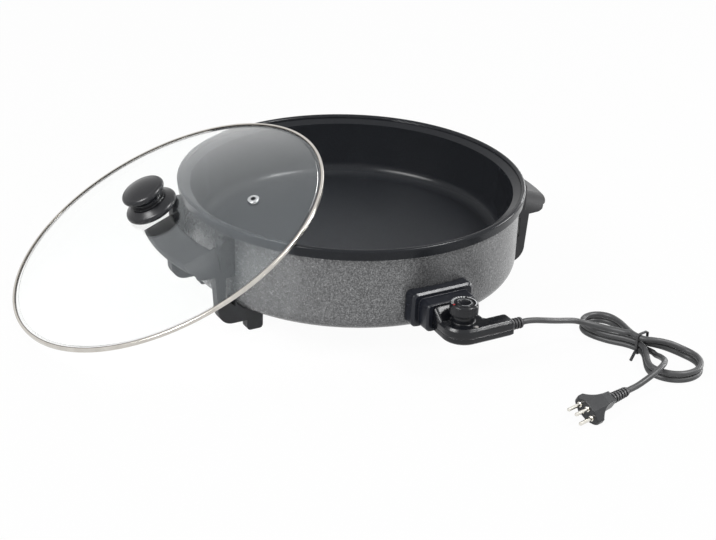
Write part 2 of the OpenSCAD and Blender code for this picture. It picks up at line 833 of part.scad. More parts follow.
module lower_case() {
    color([0.05, 0.05, 0.06]) difference() {
        union() {
            difference() {
                union() {
                    hull() {
                        translate([0, 0, case_z0 + 2]) linear_extrude(height = split_z - case_z0 - 2)
                            case_main(0, $fn = 48);
                        translate([0, 0, case_z0]) linear_extrude(height = 1) case_main(2, $fn = 48);
                    }
                    hull() {
                        translate([0, 0, case_z0 + 2]) linear_extrude(height = split_z - case_z0 - 2)
                            case_arm(0, $fn = 32);
                        translate([0, 0, case_z0]) linear_extrude(height = 1) case_arm(2, $fn = 32);
                    }
                    translate([0, 0, case_z0 + 2])
                        linear_extrude(height = split_z - case_z0 - 2) case_corner(12);
                    intersection() {
                        upright(nose_y, back_y - 3) round_box(-half_c, nose_z0, half_c, nose_z1, 4);
                        translate([-half_c - 5, back_y - 5, nose_z0 - 1])
                            cube([case_w + 10, 40, split_z - nose_z0 + 1]);
                    }
                }
                case_hollow(case_z0 + case_wall, split_z + 1);
            }
            for (x = [-post_x, post_x])
                translate([x, post_y, case_z0 + 1]) cylinder(r = 3.4, h = split_z - case_z0 - 1);
        }
        case_bores();
        for (x = [-post_x, post_x])
            translate([x, post_y, case_z0 - 1]) {
                cylinder(r = 1.5 + clear, h = 20);
                cylinder(r = 2.8, h = 3.5);
            }
    }
}

module case_screws() {
    color([0.7, 0.7, 0.7])
        for (x = [-post_x, post_x])
            translate([x, post_y, case_z0 + 2.5]) rotate([0, -90, 0]) screw(1.5, 11, 2.6, 1.6);
}

module probe() {
    reach = nose_y + probe_l;
    color([0.78, 0.77, 0.75]) {
        translate([0, reach - probe_r, split_z]) rotate([90, 0, 0])
            cylinder(r = probe_r, h = reach - probe_r - back_y + case_wall);
        translate([0, reach - probe_r, split_z]) rotate([90, 0, 0]) rotate_extrude() intersection() {
            circle(r = probe_r);
            translate([0, -probe_r]) square([probe_r, probe_r]);
        }
    }
}

module contact_sleeves() {
    color([0.72, 0.6, 0.3])
        for (x = [-pin_x, pin_x])
            translate([x, nose_y - 1.6, split_z]) rotate([90, 0, 0]) difference() {
                cylinder(r = sleeve_r, h = sleeve_l);
                translate([0, 0, -1]) cylinder(r = pin_r + 0.08, h = sleeve_l + 2);
            }
}

module switch_block() {
    y = back_y - case_wall;
    color([0.85, 0.83, 0.78]) {
        difference() {
            translate([-8, y - 10, case_z0 + case_wall]) cube([16, 10, 11]);
            for (z = [case_z0 + case_wall + 3, case_z0 + case_wall + 8.5])
                translate([-9, y - 11, z]) cube([18, 3, 1]);
        }
        for (x = [-6, 3])
            translate([x, y - 9, case_z0 + case_wall + 11]) cube([3, 8, 1]);
    }
}

module indicator_lens() {
    color([0.9, 0.75, 0.6]) translate([lens_x, lens_y, 0]) {
        translate([0, 0, case_z1 - case_wall - 1.2]) cylinder(r = lens_r + 1, h = 1.2);
        translate([0, 0, case_z1 - case_wall]) cylinder(r = lens_r, h = case_wall);
        translate([0, 0, case_z1]) rotate_extrude() intersection() {
            translate([0, -2.4]) circle(r = 3.2);
            square([lens_r, 4]);
        }
    }
}

// Dial

module dial() {
    r = dial_r;
    color([0.05, 0.05, 0.06]) translate([0, dial_y, 0]) difference() {
        rotate_extrude() polygon([
            [0, dial_z0], [r - 2, dial_z0], [r, dial_z0 + 1.6], [r, dial_z1 - 2], [r - 0.5, dial_z1 - 0.7],
            [r - 1.6, dial_z1], [r - 4, dial_z1], [r - 4.4, dial_z1 - 0.7], [r - 6, dial_z1 - 0.7],
            [r - 6.4, dial_z1], [r - 9, dial_z1], [r - 9.4, dial_z1 - 0.7], [0, dial_z1 - 0.7]
        ]);
        translate([0, 0, dial_z0 - 1]) cylinder(r = shaft_r + fit, h = dial_h - 2);
        for (a = [0:15:345])
            rotate([0, 0, a]) translate([r + 1.1, 0, dial_z0 + 2]) cylinder(r = 1.5, h = dial_h - 4.4);
    }
}

module dial_pointer() {
    color([0.8, 0.15, 0.1]) translate([0, dial_y, dial_z1]) rotate([0, 0, 180])
        translate([dial_r - 4, -0.8, 0]) cube([2.3, 1.6, 0.5]);
}

module dial_shaft() {
    color([0.75, 0.75, 0.75]) translate([0, dial_y, 0]) {
        translate([0, 0, case_z0 + case_wall + 0.4])
            cylinder(r = shaft_r, h = dial_z0 + dial_h - 3.4 - case_z0 - case_wall - 0.4);
        translate([0, 0, split_z + 1]) cylinder(r = 6.2, h = 3);
    }
}

// Cord and plug

module cord_relief() {
    neck = cord_r + 1;
    color([0.1, 0.1, 0.11]) translate([arm_l, relief_y, split_z]) rotate([0, 90, 0]) {
        translate([0, 0, -case_wall - 2.2]) cylinder(r = neck + 1, h = 2);
        translate([0, 0, -case_wall - 1]) cylinder(r = neck, h = case_wall + 2);
        translate([0, 0, 0.2]) cylinder(r1 = neck + 1, r2 = neck, h = relief_l - 0.2);
        for (z = [0.8:3.6:relief_l - 2])
            translate([0, 0, z]) cylinder(r1 = neck + 2, r2 = neck + 1.7, h = 2.1);
    }
}

// Tube swept along points
function unit(v) = v / norm(v);
function heading(p, i) = unit(p[min(i + 1, len(p) - 1)] - p[max(i - 1, 0)]);
function across(p, i) = unit(cross(heading(p, i), [0, 0, 1]));
function tube_points(p, r, n) = [
    for (i = [0:len(p) - 1], k = [0:n - 1])
        let (s = across(p, i), u = cross(s, heading(p, i)), a = 360 * k / n)
        p[i] + r * (cos(a) * s + sin(a) * u)
];
function tube_faces(m, n) = concat(
    [[for (k = [0:n - 1]) k]],
    [for (i = [0:m - 2], k = [0:n - 1]) [i * n + k, (i + 1) * n + k, (i + 1) * n + (k + 1) % n]],
    [for (i = [0:m - 2], k = [0:n - 1]) [i * n + k, (i + 1) * n + (k + 1) % n, i * n + (k + 1) % n]],
    [[for (k = [n - 1:-1:0]) (m - 1) * n + k]]
);

module tube(p, n) {
    polyhedron(points = tube_points(p, cord_r, n), faces = tube_faces(len(p), n), convexity = 10);
}

// Hank of two laps, each point as length, width and layer
function lobe_w(x, c, r) = waist_w + (r - waist_w) * (1 - cos(180 * x / c)) / 2;
function ease(x, x0, x1) = (1 - cos(180 * max(0, min(1, (x - x0) / (x1 - x0))))) / 2;
function lap(k) = concat(
    [for (i = [0:run_n - 1]) let (x = right_c * i / run_n)
        [
            x,
            lobe_w(x, right_c, right_r) - (k == 0 ? 2 * waist_w * (1 - ease(x, 0, 30)) : 0),
            2 - k - ease(x, 12, right_c)
        ]],
    [for (i = [0:arc_n - 1])
        let (a = 90 - 180 * i / arc_n)
        [right_c + right_r * cos(a), right_r * sin(a), 1 - k]],
    [for (i = [0:run_n - 1]) let (x = right_c * (1 - i / run_n)) [x, -lobe_w(x, right_c, right_r), 1 - k]],
    [for (i = [0:run_n - 1]) let (x = left_c * i / run_n) [-x, -lobe_w(x, left_c, left_r), 1 - k]],
    [for (i = [0:arc_n - 1])
        let (a = 90 - 180 * i / arc_n)
        [-left_c - left_r * cos(a), -left_r * sin(a), 1 - k]],
    [for (i = [0:run_n - 1]) let (x = left_c * (1 - i / run_n)) [-x, lobe_w(x, left_c, left_r), 1 - k]]
);
function hank_rise(x) = waist_lift * (1 - ease(abs(x), 8, 40));
function on_table(q) = [
    hank_at[0] + q[0] * cos(hank_dir) - q[1] * sin(hank_dir),
    hank_at[1] + q[0] * sin(hank_dir) + q[1] * cos(hank_dir),
    table_z + cord_r + 0.05 + q[2] * hank_step + hank_rise(q[0])
];
hank_path = [
    for (q = concat([[-8, -waist_w, 2]], lap(0), lap(1), [[0, waist_w, 0], [8, waist_w, 0]])) on_table(q)
];
hank_gap = min([
    for (i = [0:len(hank_path) - 1], j = [i + 8:1:len(hank_path) - 1]) norm(hank_path[i] - hank_path[j])
]) - cord_d;
echo(hank_gap = hank_gap);

hank_fore = unit(hank_path[1] - hank_path[0]);
hank_last = hank_path[len(hank_path) - 1];
hank_aft = unit(hank_last - hank_path[len(hank_path) - 2]);
relief_end = [arm_l + relief_l, relief_y, split_z];
lead_path = concat(
    [relief_end, relief_end + [cord_d, 0, 0]], lead_route,
    [hank_path[0] - cord_d * hank_fore, hank_path[0]]
);
plug_back = [
    plug_at[0] - (plug_l + plug_sleeve_l) * cos(plug_dir),
    plug_at[1] - (plug_l + plug_sleeve_l) * sin(plug_dir),
    plug_z
];
tail_path = concat(
    [hank_last, hank_last + cord_d * hank_aft], tail_route,
    [plug_back - cord_d * [cos(plug_dir), sin(plug_dir), 0], plug_back]
);

module cord_lead() {
    color([0.22, 0.22, 0.23]) tube(lead_path, 10);
}

module cord_hank() {
    color([0.22, 0.22, 0.23]) tube(hank_path, 8);
}

module cord_tail() {
    color([0.22, 0.22, 0.23]) tube(tail_path, 10);
}

module cord_tie() {
    side = waist_w + cord_r + 0.4;
    low = waist_lift - 0.4;
    high = waist_lift + 2 * hank_step + cord_d + 0.4;
    color([0.12, 0.12, 0.12]) translate([hank_at[0], hank_at[1], table_z]) rotate([0, 0, hank_dir]) {
        rotate([90, 0, 90]) translate([0, 0, -tie_w / 2]) linear_extrude(height = tie_w) difference() {
            round_box(-side - tie_t, low - tie_t, side + tie_t, high + tie_t, 3);
            round_box(-side, low, side, high, 2);
        }
        translate([0, -side - tie_t / 2, 5]) rotate([0, 96, -62]) {
            cylinder(r = 1.4, h = 20);
            for (z = [3:3:18])
                translate([0, 0, z]) cylinder(r1 = 1.4, r2 = 1.8, h = 1.5);
        }
    }
}

// Plug frame, pins along +X
module on_plug() {
    translate([plug_at[0], plug_at[1], plug_z])
        rotate([0, 0, plug_dir]) rotate([-plug_roll, 0, 0]) children();
}

// Outline of the plug seen from above, flaring to its face
module plug_plan() {
    back = plug_l - 10;
    difference() {
        round_box(-plug_l - 4, -18, 0, 18, 4);
        for (y = [-26.8, 26.8])
            translate([-back, y]) circle(r = 20);
        for (y = [-30, 6.8])
            translate([-plug_l - 10, y]) square([plug_l - back + 10, 23.2]);
        translate([-plug_l - 10, -20]) square([10, 40]);
    }
}

module plug_body() {
    color([0.16, 0.17, 0.18]) on_plug() difference() {
        intersection() {
            translate([0, 0, -20]) linear_extrude(height = 40) plug_plan();
            translate([-plug_l - 1, 0, 0]) rotate([90, 0, 90]) linear_extrude(height = plug_l + 2)
                polygon([
                    [18.5, -2.2], [18.5, 2.2], [7, 8.5], [-7, 8.5],
                    [-18.5, 2.2], [-18.5, -2.2], [-7, -8.5], [7, -8.5]
                ]);
            upright(30, -30)
                polygon([
                    [-plug_l - 1, -6], [-plug_l + 16, -9], [1, -9],
                    [1, 9], [-plug_l + 16, 9], [-plug_l - 1, 6]
                ]);
        }
        plug_pin_places() translate([-9, 0, 0]) rotate([0, 90, 0]) cylinder(r = plug_pin_d / 2 + fit, h = 12);
    }
}

module plug_pin_places() {
    for (q = [[-plug_pitch / 2, 0], [0, 4], [plug_pitch / 2, 0]])
        translate([0, q[0], q[1]]) children();
}

module plug_sleeve() {
    color([0.14, 0.14, 0.15]) on_plug() translate([-plug_l, 0, 0]) rotate([0, -90, 0]) {
        cylinder(r1 = 5, r2 = 3.9, h = plug_sleeve_l);
        for (z = [1.5:4.2:plug_sleeve_l - 3])
            translate([0, 0, z]) cylinder(r1 = 6.4 - z * 0.04, r2 = 6 - z * 0.04, h = 2.6);
    }
}

module plug_pins() {
    r = plug_pin_d / 2;
    color([0.82, 0.8, 0.76]) on_plug() plug_pin_places() rotate([0, 90, 0]) {
        translate([0, 0, -9]) cylinder(r = r, h = 9 + plug_pin_l - 1);
        translate([0, 0, plug_pin_l - 1]) cylinder(r1 = r, r2 = r - 0.7, h = 1);
        cylinder(r = r + 1, h = 1.2);
    }
}

inner_pan();
outer_shell();
base_screws();
heating_element();
terminal_pins();
terminal_seals();
probe_guide();
socket_housing();
socket_screws();
left_handle();
right_handle();
handle_screws();
lid_glass();
lid_band();
vent_grommet();
knob_flange();
lid_knob();
knob_washer();
knob_screw();
upper_case();
lower_case();
case_screws();
probe();
contact_sleeves();
switch_block();
indicator_lens();
dial();
dial_pointer();
dial_shaft();
cord_relief();
cord_lead();
cord_hank();
cord_tie();
cord_tail();
plug_sleeve();
plug_body();
plug_pins();
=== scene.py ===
import math

import bmesh
import bpy
from mathutils import Matrix, Vector


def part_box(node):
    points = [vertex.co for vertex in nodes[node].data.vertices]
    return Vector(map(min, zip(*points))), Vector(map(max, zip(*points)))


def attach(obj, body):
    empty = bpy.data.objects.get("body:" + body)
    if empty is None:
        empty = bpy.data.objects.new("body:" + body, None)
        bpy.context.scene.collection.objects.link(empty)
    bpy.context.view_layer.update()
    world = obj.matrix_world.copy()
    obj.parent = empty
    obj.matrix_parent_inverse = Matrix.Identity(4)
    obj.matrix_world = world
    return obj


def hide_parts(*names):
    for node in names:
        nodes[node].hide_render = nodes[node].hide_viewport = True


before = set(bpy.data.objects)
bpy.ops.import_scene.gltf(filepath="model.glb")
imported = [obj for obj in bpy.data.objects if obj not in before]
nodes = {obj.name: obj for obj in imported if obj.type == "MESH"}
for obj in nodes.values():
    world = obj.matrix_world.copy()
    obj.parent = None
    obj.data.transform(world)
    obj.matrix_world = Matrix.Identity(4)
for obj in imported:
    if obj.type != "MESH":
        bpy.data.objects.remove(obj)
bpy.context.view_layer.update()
scene = bpy.context.scene
scene.view_settings.view_transform = "Standard"
MM = 0.001


# Camera, fitted to the photograph's rim, lid and handles
FOCAL, PICTURE_W = 1800.0, 716  # pixels
CAMERA_DIST, AIM_Z = 2072.5, 103.0  # millimetres, from the middle of the rim
CAMERA_EL, CAMERA_AZ, CAMERA_ROLL = math.radians(23.03), math.radians(-30), math.radians(2.17)
AIM_X_PX, AIM_Y_PX = -5.78, 93.63  # where the middle of the rim lies in the picture
SENSOR_W = 36


def make_camera():
    ce, se = math.cos(CAMERA_EL), math.sin(CAMERA_EL)
    ca, sa = math.cos(CAMERA_AZ), math.sin(CAMERA_AZ)
    cr, sr = math.cos(CAMERA_ROLL), math.sin(CAMERA_ROLL)
    pan, tilt = math.atan2(AIM_X_PX, FOCAL), math.atan2(AIM_Y_PX, FOCAL)
    cp, sp = math.cos(pan), math.sin(pan)
    ct, st = math.cos(tilt), math.sin(tilt)
    back = Vector((sa * ce, -ca * ce, se))
    right = Vector((ca, sa, 0))
    up = back.cross(right)
    rows = Matrix((cr * right + sr * up, cr * up - sr * right, back))
    turn_y = Matrix(((cp, 0, -sp), (0, 1, 0), (sp, 0, cp)))
    turn_x = Matrix(((1, 0, 0), (0, ct, -st), (0, st, ct)))
    to_camera = turn_x @ turn_y @ rows
    data = bpy.data.cameras.new("camera")
    data.sensor_fit = "HORIZONTAL"
    data.sensor_width = SENSOR_W
    data.lens = SENSOR_W * FOCAL / PICTURE_W
    data.clip_start = 0.05
    data.clip_end = 50
    cam = bpy.data.objects.new("camera", data)
    place = (back * CAMERA_DIST + Vector((0, 0, AIM_Z))) * MM
    cam.matrix_world = Matrix.Translation(place) @ to_camera.transposed().to_4x4()
    scene.collection.objects.link(cam)
    scene.camera = cam


make_camera()


# Cord route in millimetres, the same as in the part's source
TABLE_Z = -27.0
CORD_R = 3.3
CORD_STRAIGHT = 2 * CORD_R  # straight stretch where the cord meets another piece
CORD_GAP = 0.05  # between the cord and the table
HANK_AT = (202.0, -300.0)
HANK_DIR = math.radians(-80)
HANK_STEP = 7.4  # from one lap to the next
HANK_END = 8.0  # reach of the loose ends past the waist
WAIST_W, WAIST_LIFT = 4.0, 1.8
WAIST_FROM, WAIST_TO = 8.0, 40.0  # where the waist's lift fades out
ENTRY_RUN, SINK_FROM = 30.0, 12.0  # where the first run crosses over and starts to sink
LEFT_R, LEFT_C, RIGHT_R, RIGHT_C = 20.0, 62.0, 30.0, 46.0
LAP_RUNS, LAP_ARCS = 7, 9
ROUTE_STEP = 2.5
RELIEF_END = Vector((66, -260.8, 22.8))
PLUG_AT = Vector((60, -393, -16.1))
PLUG_DIR = math.radians(193.5)
PLUG_REACH = 66  # plug and sleeve
PLUG_ALONG = Vector((math.cos(PLUG_DIR), math.sin(PLUG_DIR), 0))
PLUG_BACK = PLUG_AT - PLUG_REACH * PLUG_ALONG
LEAD = [
    (84, -260.6, 21), (96, -260, 17.8), (109, -258, 13.6), (122, -255, 9.2), (135, -252, 5),
    (147, -250.5, 1.2), (157, -252, -2.4), (166, -256, -5), (174, -261.5, -6.8),
    (181, -268.5, -7.8), (187, -276.5, -7.6), (192, -284, -7.4),
]
TAIL = [
    (209, -318, -22.8), (208, -326, -20.8), (204, -336, -17.4), (198, -346, -13.2),
    (191, -354, -9.8), (183, -361, -7.9), (173, -366.5, -8), (162, -370, -10.4),
    (151, -372, -13.4), (141, -373.8, -15.6),
]


def ease(x, x0, x1):
    t = max(0.0, min(1.0, (x - x0) / (x1 - x0)))
    return (1 - math.cos(math.pi * t)) / 2


def lobe(x, c, r):
    """Half width of a lobe with radius r and centre c, at x from the waist."""
    return WAIST_W + (r - WAIST_W) * (1 - math.cos(math.pi * x / c)) / 2


def lap(k):
    """Points of lap k in the hank's own frame: along, across and height in steps."""
    points = []
    for i in range(LAP_RUNS):
        x = RIGHT_C * i / LAP_RUNS
        drop = 2 * WAIST_W * (1 - ease(x, 0, ENTRY_RUN)) if k == 0 else 0
        points.append((x, lobe(x, RIGHT_C, RIGHT_R) - drop, 2 - k - ease(x, SINK_FROM, RIGHT_C)))
    for i in range(LAP_ARCS):
        a = math.pi / 2 - math.pi * i / LAP_ARCS
        points.append((RIGHT_C + RIGHT_R * math.cos(a), RIGHT_R * math.sin(a), 1 - k))
    for i in range(LAP_RUNS):
        x = RIGHT_C * (1 - i / LAP_RUNS)
        points.append((x, -lobe(x, RIGHT_C, RIGHT_R), 1 - k))
    for i in range(LAP_RUNS):
        x = LEFT_C * i / LAP_RUNS
        points.append((-x, -lobe(x, LEFT_C, LEFT_R), 1 - k))
    for i in range(LAP_ARCS):
        a = math.pi / 2 - math.pi * i / LAP_ARCS
        points.append((-LEFT_C - LEFT_R * math.cos(a), -LEFT_R * math.sin(a), 1 - k))
    for i in range(LAP_RUNS):
        x = LEFT_C * (1 - i / LAP_RUNS)
        points.append((-x, lobe(x, LEFT_C, LEFT_R), 1 - k))
    return points


def on_table(q):
    """A point of the hank's own frame, laid on the table."""
    rise = WAIST_LIFT * (1 - ease(abs(q[0]), WAIST_FROM, WAIST_TO))
    c, s = math.cos(HANK_DIR), math.sin(HANK_DIR)
    return Vector((
        HANK_AT[0] + q[0] * c - q[1] * s,
        HANK_AT[1] + q[0] * s + q[1] * c,
        TABLE_Z + CORD_R + CORD_GAP + q[2] * HANK_STEP + rise,
    ))


def spline(points, step):
    """Points about step apart on a smooth curve through the given ones."""
    p = [2 * points[0] - points[1], *points, 2 * points[-1] - points[-2]]
    out = []
    for i in range(1, len(p) - 2):
        a, b, c, d = p[i - 1:i + 3]
        t0, t1 = 0.0, (b - a).length ** 0.5
        t2 = t1 + (c - b).length ** 0.5
        t3 = t2 + (d - c).length ** 0.5
        n = max(1, round((c - b).length / step))
        for k in range(n):
            t = t1 + (t2 - t1) * k / n
            a1 = (t1 - t) / (t1 - t0) * a + (t - t0) / (t1 - t0) * b
            a2 = (t2 - t) / (t2 - t1) * b + (t - t1) / (t2 - t1) * c
            a3 = (t3 - t) / (t3 - t2) * c + (t - t2) / (t3 - t2) * d
            b1 = (t2 - t) / (t2 - t0) * a1 + (t - t0) / (t2 - t0) * a2
            b2 = (t3 - t) / (t3 - t1) * a2 + (t - t1) / (t3 - t1) * a3
            out.append((t2 - t) / (t2 - t1) * b1 + (t - t1) / (t2 - t1) * b2)
    return [*out, points[-1]]


def cord_route():
    turns = [
        (-HANK_END, -WAIST_W, 2), *lap(0), *lap(1), (0, WAIST_W, 0), (HANK_END, WAIST_W, 0),
    ]
    hank = [on_table(q) for q in turns]
    fore = (hank[1] - hank[0]).normalized()
    aft = (hank[-1] - hank[-2]).normalized()
    route = [RELIEF_END, RELIEF_END + Vector((CORD_STRAIGHT, 0, 0))]
    route += [Vector(q) for q in LEAD]
    route += [hank[0] - CORD_STRAIGHT * fore, *hank, hank[-1] + CORD_STRAIGHT * aft]
    route += [Vector(q) for q in TAIL]
    route += [PLUG_BACK - CORD_STRAIGHT * PLUG_ALONG, PLUG_BACK]
    return spline(route, ROUTE_STEP)


def add_piece(name, bm):
    """Link a mesh object made from bm, which is used up."""
    bmesh.ops.recalc_face_normals(bm, faces=bm.faces)
    data = bpy.data.meshes.new(name)
    bm.to_mesh(data)
    bm.free()
    obj = bpy.data.objects.new(name, data)
    scene.collection.objects.link(obj)
    return obj


def tube_piece(name, points, radius, sides=20):
    """A closed tube along points, its rings carried along without twist."""
    bm = bmesh.new()
    rings = []
    side = Vector((0, 0, 1))
    for i, q in enumerate(points):
        ahead = (points[min(i + 1, len(points) - 1)] - points[max(i - 1, 0)]).normalized()
        side = (side - ahead * side.dot(ahead)).normalized()
        up = ahead.cross(side)
        ring = []
        for k in range(sides):
            a = 2 * math.pi * k / sides
            ring.append(bm.verts.new(q + radius * (math.cos(a) * side + math.sin(a) * up)))
        rings.append(ring)
    for p, q in zip(rings, rings[1:]):
        for k in range(sides):
            bm.faces.new((p[k], p[(k + 1) % sides], q[(k + 1) % sides], q[k]))
    bm.faces.new(rings[0][::-1])
    bm.faces.new(rings[-1])
    for f in bm.faces:
        f.smooth = len(f.verts) == 4
    return add_piece(name, bm)


cord_points = [q * MM for q in cord_route()]
flex = tube_piece("flex", cord_points, CORD_R * MM)
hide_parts("cord_lead", "cord_hank", "cord_tail")
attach(flex, "thermostat")


# Materials
class Surface:
    """A node material around one Principled shader."""

    def __init__(self, name, color, rough, metal=0.0, ior=1.5):
        self.mat = bpy.data.materials.new(name)
        self.mat.use_nodes = True
        self.tree = self.mat.node_tree
        self.shader = self.tree.nodes["Principled BSDF"]
        self.set("Base Color", (*color, 1))
        self.set("Roughness", rough)
        self.set("Metallic", metal)
        self.set("IOR", ior)
        self.coords = self.tree.nodes.new("ShaderNodeTexCoord").outputs["Object"]
        self.normal = None

    def set(self, socket, value):
        self.shader.inputs[socket].default_value = value

    def add(self, kind, **values):
        n = self.tree.nodes.new(kind)
        for k, v in values.items():
            setattr(n, k, v)
        return n

    def link(self, a, b):
        self.tree.links.new(a, b)

    def drive(self, source, socket):
        """Link source to a socket of the shader, where one is named."""
        if socket:
            self.link(source, self.shader.inputs[socket])
        return source

    def noise(self, scale, detail=3.0, rough=0.5):
        n = self.add("ShaderNodeTexNoise")
        n.inputs["Scale"].default_value = scale
        n.inputs["Detail"].default_value = detail
        n.inputs["Roughness"].default_value = rough
        self.link(self.coords, n.inputs["Vector"])
        return n.outputs["Fac"]

    def cells(self, scale):
        n = self.add("ShaderNodeTexVoronoi", feature="F1")
        n.inputs["Scale"].default_value = scale
        self.link(self.coords, n.inputs["Vector"])
        return n.outputs["Distance"]

    def ramp(self, source, stops, socket=None):
        n = self.add("ShaderNodeValToRGB")
        e = n.color_ramp.elements
        while len(e) < len(stops):
            e.new(0.5)
        for stop, (at, c) in zip(e, stops):
            stop.position = at
            stop.color = (*c, 1)
        self.link(source, n.inputs["Fac"])
        return self.drive(n.outputs["Color"], socket)

    def span(self, source, low, high, socket=None, a=0.3, b=0.7):
        """Values from low to high as source goes from a to b."""
        n = self.add("ShaderNodeMapRange")
        n.inputs["From Min"].default_value = a
        n.inputs["From Max"].default_value = b
        n.inputs["To Min"].default_value = low
        n.inputs["To Max"].default_value = high
        self.link(source, n.inputs["Value"])
        return self.drive(n.outputs["Result"], socket)

    def multiply(self, a, b, socket):
        n = self.add("ShaderNodeMix", data_type="RGBA", blend_type="MULTIPLY")
        n.inputs["Factor"].default_value = 1.0
        self.link(a, n.inputs["A"])
        self.link(b, n.inputs["B"])
        self.drive(n.outputs["Result"], socket)

    def set_normal(self, source):
        self.normal = self.drive(source, "Normal")

    def bump(self, source, strength, distance):
        n = self.add("ShaderNodeBump")
        n.inputs["Strength"].default_value = strength
        n.inputs["Distance"].default_value = distance
        self.link(source, n.inputs["Height"])
        if self.normal is not None:
            self.link(self.normal, n.inputs["Normal"])
        self.set_normal(n.outputs["Normal"])

    def soften(self, radius):
        """Round the edges in shading."""
        n = self.add("ShaderNodeBevel", samples=6)
        n.inputs["Radius"].default_value = radius
        self.set_normal(n.outputs["Normal"])


PAINTED_SHADE_REACH = 0.1  # how near another piece has to be for the painted shade to darken the shell


def hammertone():
    """Speckled paint with painted shade, darker where other pieces stand near, as behind handles,
    lid and socket.
    """
    s = Surface("hammertone_paint", (0.2, 0.2, 0.2), 0.4)
    fine = s.noise(640, 2, 0.6)
    grain = s.ramp(fine, [
        (0.34, (0.075, 0.076, 0.078)), (0.5, (0.156, 0.158, 0.161)), (0.68, (0.31, 0.312, 0.316)),
    ])
    # painted shade: occlusion by nearby pieces darkens the base colour, down to about a quarter
    shade_occlusion = s.add("ShaderNodeAmbientOcclusion", samples=6)
    shade_occlusion.inputs["Distance"].default_value = PAINTED_SHADE_REACH
    shade = s.ramp(shade_occlusion.outputs["AO"], [(0.2, (0.26, 0.26, 0.275)), (0.68, (1, 1, 1))])
    s.multiply(grain, shade, "Base Color")
    s.span(s.noise(300, 2), 0.22, 0.3, "Roughness")
    s.span(fine, 0.2, 0.5, "Metallic")
    s.bump(s.cells(590), 0.2, -0.0005)
    return s.mat


FLOOR_Z = 31 * MM  # cooking floor of the pan
WORN_FROM, WORN_TO = FLOOR_Z + 0.6 * MM, FLOOR_Z + 6 * MM


def coating():
    """Non-stick coating, smooth on the walls and dull on the floor."""
    s = Surface("pan_coating", (0.02, 0.022, 0.026), 0.2, ior=1.24)
    s.ramp(
        s.noise(1400, 2),
        [(0.35, (0.0155, 0.0168, 0.02)), (0.7, (0.025, 0.027, 0.0312))],
        "Base Color",
    )
    split = s.add("ShaderNodeSeparateXYZ")
    s.link(s.coords, split.inputs["Vector"])
    worn = s.span(split.outputs["Z"], 0.24, 0.0, a=WORN_FROM, b=WORN_TO)
    both = s.add("ShaderNodeMath", operation="ADD")
    s.link(s.span(s.noise(18, 4), 0.17, 0.22), both.inputs[0])
    s.link(worn, both.inputs[1])
    s.drive(both.outputs[0], "Roughness")
    s.bump(s.noise(1800, 2), 0.1, 0.0002)
    return s.mat


def satin(name, low, high, rough, edge):
    s = Surface(name, low, rough, ior=1.42)
    s.soften(edge)
    s.ramp(s.noise(60, 5), [(0.3, low), (0.7, high)], "Base Color")
    s.span(s.noise(25, 4), rough - 0.04, rough + 0.05, "Roughness")
    s.bump(s.noise(1500, 3), 0.12, 0.0002)
    return s.mat


def gloss(name, low, high, rough, edge):
    s = Surface(name, low, rough, ior=1.42)
    s.soften(edge)
    s.ramp(s.noise(40, 4), [(0.3, low), (0.7, high)], "Base Color")
    s.span(s.noise(90, 5), rough - 0.03, rough + 0.05, "Roughness")
    s.bump(s.noise(320, 3), 0.02, 0.0002)
    return s.mat


def steel(name, low, high, rough, scale=300):
    s = Surface(name, low, rough, metal=1.0)
    grain = s.noise(scale, 4, 0.6)
    s.ramp(grain, [(0.3, low), (0.7, high)], "Base Color")
    s.span(grain, rough - 0.04, rough + 0.06, "Roughness")
    s.bump(grain, 0.04, 0.0001)
    return s.mat


BAND_R = 192 * MM  # outer radius of the lid's steel band
BAND_LIP = 188.4 * MM  # inner edge of the band on the glass
LID_LEAN, LID_DIR = math.radians(26.5), math.radians(173.6)


def banded_steel():
    """Polished steel, with painted shade: dark along its inner edge where the band is pressed on
    the glass.
    """
    s = Surface("polished_steel", (0.56, 0.535, 0.5), 0.16, metal=1.0)
    lean = math.sin(LID_LEAN)
    axis = (lean * math.cos(LID_DIR), lean * math.sin(LID_DIR), math.cos(LID_LEAN))
    low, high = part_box("lid_band")
    from_mid = s.add("ShaderNodeVectorMath", operation="SUBTRACT")
    from_mid.inputs[1].default_value = [(a + b) / 2 for a, b in zip(low, high)]
    s.link(s.coords, from_mid.inputs[0])
    across = s.add("ShaderNodeVectorMath", operation="CROSS_PRODUCT")
    across.inputs[1].default_value = axis
    s.link(from_mid.outputs["Vector"], across.inputs[0])
    radius = s.add("ShaderNodeVectorMath", operation="LENGTH")
    s.link(across.outputs["Vector"], radius.inputs[0])
    painted_crease_shade = s.span(radius.outputs["Value"], 0.0, 1.0, a=BAND_LIP, b=BAND_R)
    streaks = s.noise(60, 4, 0.6)
    # painted shade: the base colour is darkened to about a fifth along the band's inner edge on
    # the glass
    s.multiply(
        s.ramp(streaks, [(0.3, (0.54, 0.515, 0.475)), (0.7, (0.63, 0.605, 0.565))]),
        s.ramp(painted_crease_shade, [(0.16, (0.22, 0.2, 0.19)), (0.34, (1, 1, 1))]),
        "Base Color",
    )
    s.span(streaks, 0.12, 0.2, "Roughness")
    return s.mat


def clear_glass():
    """Clear glass that lets most light through in shadows."""
    s = Surface("clear_glass", (0.985, 0.995, 0.99), 0.0)
    s.set("Transmission Weight", 1.0)
    s.set("Specular Tint", (0.85, 0.945, 1, 1))
    s.span(s.noise(9, 4), 0.0, 0.02, "Roughness")
    path = s.add("ShaderNodeLightPath")
    through = s.add("ShaderNodeBsdfTransparent")
    through.inputs["Color"].default_value = (0.9, 0.92, 0.92, 1)
    mix = s.add("ShaderNodeMixShader")
    s.link(path.outputs["Is Shadow Ray"], mix.inputs["Fac"])
    s.link(s.shader.outputs["BSDF"], mix.inputs[1])
    s.link(through.outputs["BSDF"], mix.inputs[2])
    s.link(mix.outputs["Shader"], s.tree.nodes["Material Output"].inputs["Surface"])
    return s.mat


